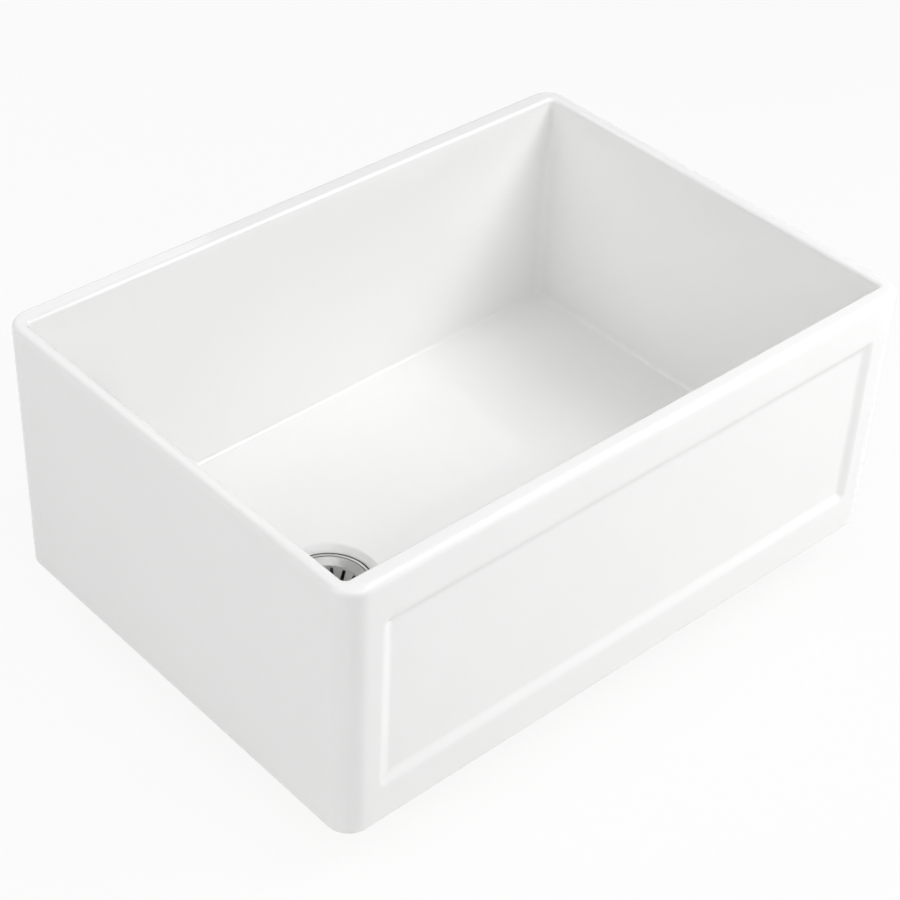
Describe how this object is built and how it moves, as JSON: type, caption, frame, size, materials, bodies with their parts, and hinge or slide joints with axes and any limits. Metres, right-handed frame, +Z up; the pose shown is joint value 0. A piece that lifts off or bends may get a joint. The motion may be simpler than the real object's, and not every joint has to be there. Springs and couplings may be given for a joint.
{
  "type": "butler sink",
  "caption": "Rectangular glazed fireclay butler sink with a sunk bevelled panel on its front and a lift-out basket strainer waste with a push-down stopper in its floor.",
  "frame": {"origin": "centre of the sink's flat underside", "axes": "+Z up out of the basin, +X along the length away from the outlet's end, panelled front facing -Y"},
  "size_m": [0.64, 0.456, 0.3103],
  "materials": {
    "fireclay": "gloss white glaze",
    "polished_steel": "polished stainless steel",
    "seal_rubber": "moulded black rubber",
    "slip_plastic": "natural white plastic",
    "nut_brass": "plain cast and turned brass",
    "bush_plastic": "moulded dark grey plastic"
  },
  "bodies": {
    "sink": {"sink_body": "fireclay", "waste_body": "polished_steel", "flange_seal": "seal_rubber", "under_gasket": "seal_rubber", "friction_washer": "slip_plastic", "lock_nut": "nut_brass"},
    "basket": {"basket_shell": "polished_steel", "spindle_bush": "bush_plastic", "grip_ring": "seal_rubber"},
    "stopper": {"spindle": "polished_steel", "backing_plate": "polished_steel", "stopper_seal": "seal_rubber", "seal_washer": "polished_steel", "seal_nut": "polished_steel", "knob": "polished_steel"}
  },
  "joints": [
    {"name": "basket_lift", "type": "slide", "parent": "sink", "child": "basket", "axis": [0, 0, 1], "range_m": [0, 0.285]},
    {"name": "stopper_press", "type": "slide", "parent": "basket", "child": "stopper", "axis": [0, 0, 1], "range_m": [-0.007, 0]}
  ]
}
